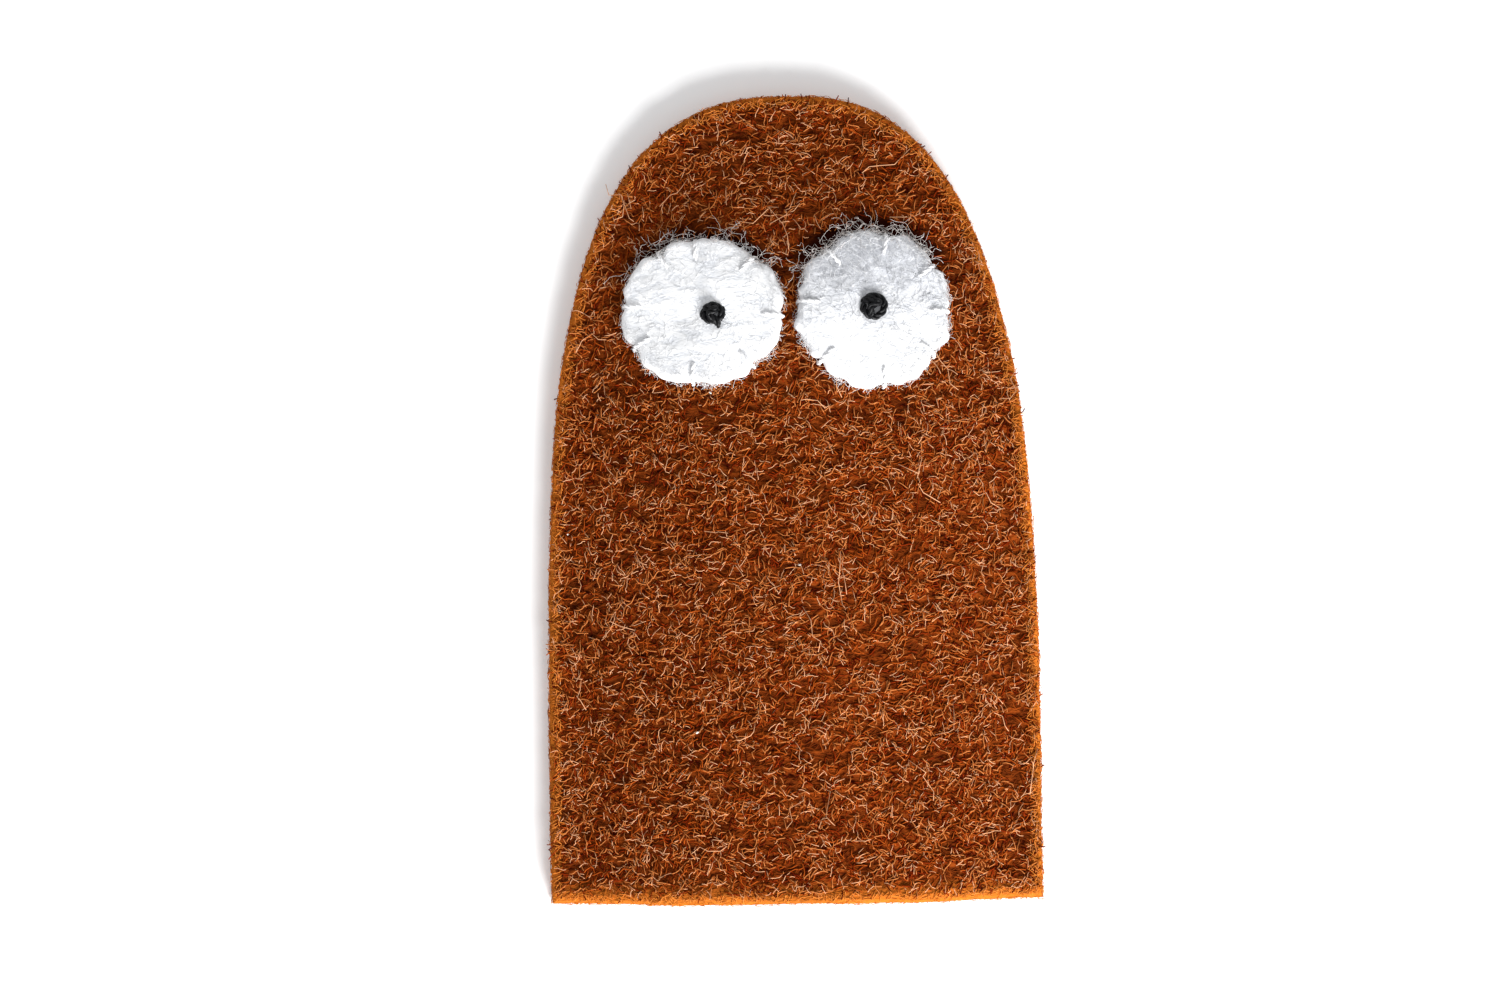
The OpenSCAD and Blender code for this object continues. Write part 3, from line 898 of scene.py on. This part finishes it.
def eye_disc(name, eye, seed):
    """A felt disc with a soft rim, pulled in and pushed down at every stitch."""
    spokes, rings = DISC_SPOKES, DISC_RINGS
    a = np.linspace(0, TURN, spokes, endpoint=False)
    draw = np.random.default_rng(seed)
    ragged = sum(draw.normal(0, 0.05) * np.sin(beat * a + draw.uniform(0, ANY_PHASE))
                 for beat in range(3, 30, 2))
    radius = oval(a, eye) - dip(a, eye) + ragged
    share = np.linspace(0, 1, rings + 1)[1:] ** 0.93
    levels = [(s, 1) for s in share] + [(s, -1) for s in share[::-1][1:]]
    points = []

    def height(r, spots, sign):
        inset = np.maximum(radius - r, 0)
        bulge = np.sqrt(np.maximum(1 - (1 - np.minimum(inset / 0.65, 1)) ** 2, 0))
        half = EYE_T / 2 * bulge
        if sign < 0:
            return LAY + EYE_T / 2 - half
        press = np.zeros(len(r))
        for s in eye["stitches"]:
            t = math.radians(s)
            out = spots[:, 0] * math.cos(t) + spots[:, 1] * math.sin(t)
            side = -spots[:, 0] * math.sin(t) + spots[:, 1] * math.cos(t)
            inner = oval(t, eye) - PUCKER + HOLE_OUT - STITCH_LEN
            over = 1 / (1 + np.exp(-(out - inner + 0.1) / 0.22))
            press = np.maximum(press, STITCH_PRESS * over * np.exp(-(side / 0.45) ** 2))
        spot = np.hypot(spots[:, 0] - eye["pupil"][0], spots[:, 1] - eye["pupil"][1])
        press += KNOT_PRESS * np.exp(-(spot / 1.6) ** 2)
        press += eye["sag"] * np.clip((spots[:, 1] + 3.0) / 10.5, 0, 1) ** 2
        lump = hand_waves(spots[:, 0], spots[:, 1], seed + 1, 4.0, 0.04)
        return LAY + EYE_T / 2 + half * (1.05 - press / EYE_T * 1.6) + lump * bulge

    for s, sign in levels:
        spots = np.stack([radius * s * np.cos(a), radius * s * np.sin(a)], axis=1)
        h = height(radius * s, spots, sign)
        points.append(on_face(eye["x"] + spots[:, 0], EYE_Y + spots[:, 1], h))
    centre = np.zeros((1, 2))
    for sign in (1, -1):
        h = height(np.array([0.0]), centre, sign)[:1]
        points.append(on_face(np.array([eye["x"]]), np.array([EYE_Y]), h))
    faces = []
    for k in range(len(levels) - 1):
        faces += ring_quads(k * spokes, (k + 1) * spokes, spokes)
    top, last = len(levels) * spokes, (len(levels) - 1) * spokes
    for i in range(spokes):
        j = (i + 1) % spokes
        faces.append((top, i, j))
        faces.append((top + 1, last + j, last + i))
    points = np.concatenate(points)
    piece = build_piece(name, points, faces, white_felt)
    # Painted shade: the upper part of the disc turns grey, as far as the eye's share says.
    upper = np.clip((points[:, 1] - EYE_Y + 4.0) / 10.0, 0, 1)
    note_points(piece.data, "wear_and_painted_shade", eye["wear_and_painted_shade"] * upper)
    gap = np.concatenate([np.tile([1.0 - s], spokes) * 8 for s, sign in levels] + [[8.0, 8.0]])
    note_points(piece.data, "rest", points * MM)
    note_points(piece.data, "from_edge", gap * MM)
    return piece


def eye_surface(name, eye, start=0.02, above=-99.0, stop=1.0):
    """The top of an eye between two shares of its radius, for its fibres."""
    spokes, rings = 90, 12
    a = np.linspace(0, TURN, spokes, endpoint=False)
    radius = oval(a, eye) - dip(a, eye)
    points, faces = [], []
    steps = np.linspace(start, stop, rings + 1)
    for s in steps:
        h = LAY + EYE_T - 0.10 - 0.75 * min(1.0, max(0.0, (s - 0.93) / 0.07))
        points.append(on_face(
            eye["x"] + radius * s * np.cos(a), EYE_Y + radius * s * np.sin(a), np.full(spokes, h)))
    for k in range(rings):
        quads = ring_quads(k * spokes, (k + 1) * spokes, spokes)
        faces += [f for i, f in enumerate(quads) if radius[i] * math.sin(a[i]) * steps[k] > above]
    return plain_mesh(name, np.concatenate(points), faces)


def ride_on_head(piece):
    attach(piece, "head")


white_fibre = fibre_paint("fibre_white", (0.96, 0.965, 0.975))
# Grey fibres as painted shade on the upper part of an eye.
grey_fibre = fibre_paint("fibre_grey", (0.60, 0.61, 0.64))
# Brownish grey fibres for the crest over the painted shadow above each eye: white felt fibres painted as if
# in shade.
web_fibre = fibre_paint("fibre_web", (0.80, 0.74, 0.70))
EYE_FUZZ = dict(Length=0.0012, Spread=3.2, Curl=0.00040, Thickness=0.000033, Lift=0.00008)
EYE_WEB = dict({"Curl Scale": 950.0}, Length=0.0017, Spread=3.2, Curl=0.00055,
               Thickness=0.000033, Lift=0.00022, Steps=10)
# Where the grey painted shade starts below an eye's middle, and over how many millimetres it grows.
PAINTED_SHADE_FROM = 5.5
PAINTED_SHADE_RUN = 11.0
EYE_CREST = dict(EYE_WEB, Length=0.0026, Curl=0.00075, Thickness=0.000038, Lift=0.00040, Steps=16)
for side, eye, seed in (("left", LEFT_EYE, 61), ("right", RIGHT_EYE, 73)):
    disc = eye_disc(side + "_felt_eye", eye, seed)
    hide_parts(side + "_eye")
    ride_on_head(disc)
    whole = eye_surface(side + "_eye_surface", eye)
    rim = eye_surface(side + "_web_surface", eye, 0.92)
    crest = eye_surface(side + "_crest_surface", eye, 0.97, 4.2, 1.13)
    tufts = [
        grow_fuzz(side + "_eye_fuzz", whole, white_fibre, seed + 5,
                  Density=5.6e6 - 1.4e6 * eye["wear_and_painted_shade"], **EYE_FUZZ),
        grow_fuzz(side + "_eye_web", rim, white_fibre, seed + 7, Density=9.0e6, **EYE_WEB),
        grow_fuzz(side + "_eye_crest", crest, web_fibre, seed + 8, Density=3.0e6, **EYE_CREST),
    ]
    # Grey fibres on each eye's upper part as painted shade; the thinning share keeps them off the lower
    # part.
    wear_and_painted_shade = eye_surface(side + "_painted_shade_surface", eye)
    upper = np.clip((mesh_points(wear_and_painted_shade)[:, 1] - EYE_Y + PAINTED_SHADE_FROM) / PAINTED_SHADE_RUN, 0, 1)
    note_points(wear_and_painted_shade, "painted_shade_thinning", 1 - upper)
    tufts.append(grow_fuzz(
        side + "_eye_painted_shade_fuzz", wear_and_painted_shade, grey_fibre, seed + 20,
        Density=8.1e6 * eye["wear_and_painted_shade"], **EYE_FUZZ))
    for tuft in tufts:
        ride_on_head(tuft)

# ---------------------------------------------------------------- Eye stitches
# One length of twisted white sewing thread round each eye: up through the brown felt
# outside the rim, over it, down through the eye, then along inside to the next stitch.
THREAD_PLY = 0.125
THREAD_LAY = 0.10
THREAD_TWIST = 1.5
TIE_TURNS = 3
TIE_POINTS = 46

thread_paint = uneven_material(
    "white_thread", (0.88, 0.88, 0.89), (0.97, 0.97, 0.975),
    (0.45, 0.70), 0.00003, 1500.0, 9000.0, {"Sheen Weight": 0.3})


def cord_tree():
    """Lays several plies round a smooth line through the path's points."""
    tree, entry, leave = new_tree(
        "twisted_cord", "Path",
        {"Step": 0.0001, "Ply Radius": 0.0001, "Lay Radius": 0.0001, "Pitch": 0.0015},
        {"Plies": 2, "Sides": 6}, "Cord")
    line = add_node(tree, "GeometryNodeMeshToCurve", {"Mesh": entry["Path"]}).outputs[0]
    soft = add_node(tree, "GeometryNodeCurveSplineType", {"Curve": line},
                    spline_type="CATMULL_ROM").outputs[0]
    even = add_node(tree, "GeometryNodeResampleCurve", {"Curve": soft, "Length": entry["Step"]},
                    mode="LENGTH").outputs[0]
    copies = add_node(tree, "GeometryNodeDuplicateElements",
                      {"Geometry": even, "Amount": entry["Plies"]}, domain="SPLINE")
    along = add_node(tree, "GeometryNodeSplineParameter", {}).outputs["Length"]
    share = maths(tree, "DIVIDE", copies.outputs["Duplicate Index"], entry["Plies"])
    turns = maths(tree, "ADD", maths(tree, "DIVIDE", along, entry["Pitch"]), share)
    angle = maths(tree, "MULTIPLY", turns, TURN)
    side = add_node(tree, "GeometryNodeInputNormal", {}).outputs[0]
    ahead = add_node(tree, "GeometryNodeInputTangent", {}).outputs[0]
    other = vectors(tree, "CROSS_PRODUCT", ahead, side)
    out = vectors(tree, "ADD", vectors(tree, "SCALE", side, maths(tree, "COSINE", angle)),
                  vectors(tree, "SCALE", other, maths(tree, "SINE", angle)))
    move = add_node(tree, "GeometryNodeSetPosition",
                    {"Geometry": copies.outputs["Geometry"],
                     "Offset": vectors(tree, "SCALE", out, entry["Lay Radius"])}).outputs[0]
    close_tree(tree, entry, leave, move, entry["Ply Radius"], entry["Sides"], "Cord")
    return tree


CORD_TREE = cord_tree()


def lay_cord(name, routes, paint, plies, sides, step, ply, lay, pitch):
    """Lays a twisted cord along each route; all sizes are in millimetres."""
    points, edges = [], []
    for route in routes:
        edges += [(len(points) + k, len(points) + k + 1) for k in range(len(route) - 1)]
        points += [tuple(float(v) * MM for v in spot) for spot in route]
    path = bpy.data.meshes.new(name + "_path")
    path.from_pydata(points, edges, [])
    return run_tree(
        name, path, CORD_TREE, Material=paint, Plies=plies, Sides=sides, Step=step * MM,
        **{"Ply Radius": ply * MM, "Lay Radius": lay * MM, "Pitch": pitch * MM})


def stitch_route(eye):
    """The whole eye sewn with one thread: seven points a stitch, as the needle goes."""
    route = []
    inside = -(FELT_T + LAY + 0.29)
    for s in eye["stitches"]:
        t = math.radians(s)
        rim = float(oval(t, eye)) - PUCKER
        for out, h in ((HOLE_OUT, inside), (HOLE_OUT - 0.05, 0.05), (-0.10, EYE_T - 0.24),
                       (-0.70, EYE_T + 0.08), (HOLE_OUT - STITCH_LEN + 0.30, EYE_T + 0.10),
                       (HOLE_OUT - STITCH_LEN - 0.02, EYE_T - 0.5), (HOLE_OUT - STITCH_LEN, inside)):
            x = eye["x"] + (rim + out) * math.cos(t)
            y = EYE_Y + (rim + out) * math.sin(t)
            route.append(on_face(x, y, h))
    return np.array(route)


def tie_off(place, size, seed):
    """A small overhand knot: a tight tangle of three wraps with a short tail."""
    draw = np.random.default_rng(seed)
    t = np.linspace(0, TIE_TURNS * TURN, TIE_POINTS)
    tilt = draw.uniform(0.2, 0.5)
    x = size * np.cos(t) * (1 - 0.1 * t / t[-1])
    y = size * np.sin(t)
    z = 0.5 * size * np.sin(t * tilt + 1)
    tail = np.array([[size + k * 0.5, 0.35 * k, 0.1 * math.sin(k)] for k in range(1, 6)])
    return np.concatenate([np.stack([x, y, z], axis=1), tail]) + place


for side, eye, seed in (("left", LEFT_EYE, 81), ("right", RIGHT_EYE, 83)):
    route = stitch_route(eye)
    ties = [tie_off(at, 0.36, seed + end) for end, at in enumerate((route[0], route[-1]))]
    thread = lay_cord(side + "_eye_stitches", [route] + ties, thread_paint, plies=2, sides=6,
                      step=0.10, ply=THREAD_PLY, lay=THREAD_LAY, pitch=THREAD_TWIST)
    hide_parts(side + "_eye_thread")
    ride_on_head(thread)

# ---------------------------------------------------------------- Pupils
# A French knot of glossy black embroidery floss in each eye, wrapped over twice
# and pulled down through the felts to a tied end inside the pocket.
FLOSS_PLY = 0.19
FLOSS_LAY = 0.19
FLOSS_TWIST = 2.4
WRAP_POINTS = 15
WRAP_POINTS_A_TURN = 6
WRAP_RISE = 0.058

floss_paint = uneven_material(
    "black_floss", (0.0012, 0.0012, 0.0020), (0.0040, 0.0040, 0.0052),
    (0.28, 0.50), 0.00004, 1200.0, 7000.0,
    {"Specular IOR Level": 0.22, "Coat Weight": 0.06, "Coat Roughness": 0.2})


def knot_route(width, squash, end, seed):
    """Local route of the floss, Z up: out of the felt, over two wraps, across and back in."""
    draw = np.random.default_rng(seed)
    wrap = width / 2 - 0.36
    route = [(0.25, 0.1, -1.9), (0.22, 0.1, -0.6), (0.35, 0.0, 0.05)]
    for k in range(WRAP_POINTS):
        t = TURN * k / WRAP_POINTS_A_TURN + 0.4
        r = wrap * (1 - 0.012 * k) + draw.uniform(-0.07, 0.07)
        route.append((r * math.cos(t), squash * r * math.sin(t),
                      0.22 + WRAP_RISE * k + draw.uniform(-0.05, 0.05)))
    route += [(0.35 * wrap, 0.3 * wrap, 1.35), (-0.3 * wrap, -0.1 * wrap, 1.30),
              (0.8 * end[0], 0.7 * end[1], 1.0), (end[0], end[1], 0.35),
              (-0.2, -0.25, -0.6), (-0.2, -0.2, -1.9)]
    return np.array(route)


for side, eye, seed in (("left", LEFT_EYE, 91), ("right", RIGHT_EYE, 95)):
    px, py = eye["x"] + eye["pupil"][0], EYE_Y + eye["pupil"][1]
    base = on_face(px, py, LAY + EYE_T - 0.80)
    out = on_face(px, py, 1.0) - on_face(px, py, 0.0)
    east = np.cross((0, 1, 0), out)
    east /= np.linalg.norm(east)
    north = np.cross(out, east)
    local = knot_route(*eye["knot"], eye["end"], seed)
    route = base + local[:, :1] * east + local[:, 1:2] * north + local[:, 2:] * out
    inside = on_face(px, py, -(FELT_T + 0.55))
    knot = lay_cord(side + "_pupil_knot", [route, tie_off(inside, 0.34, seed + 1)], floss_paint,
                    plies=3, sides=7, step=0.08, ply=FLOSS_PLY, lay=FLOSS_LAY, pitch=FLOSS_TWIST)
    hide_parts(side + "_pupil_floss")
    ride_on_head(knot)
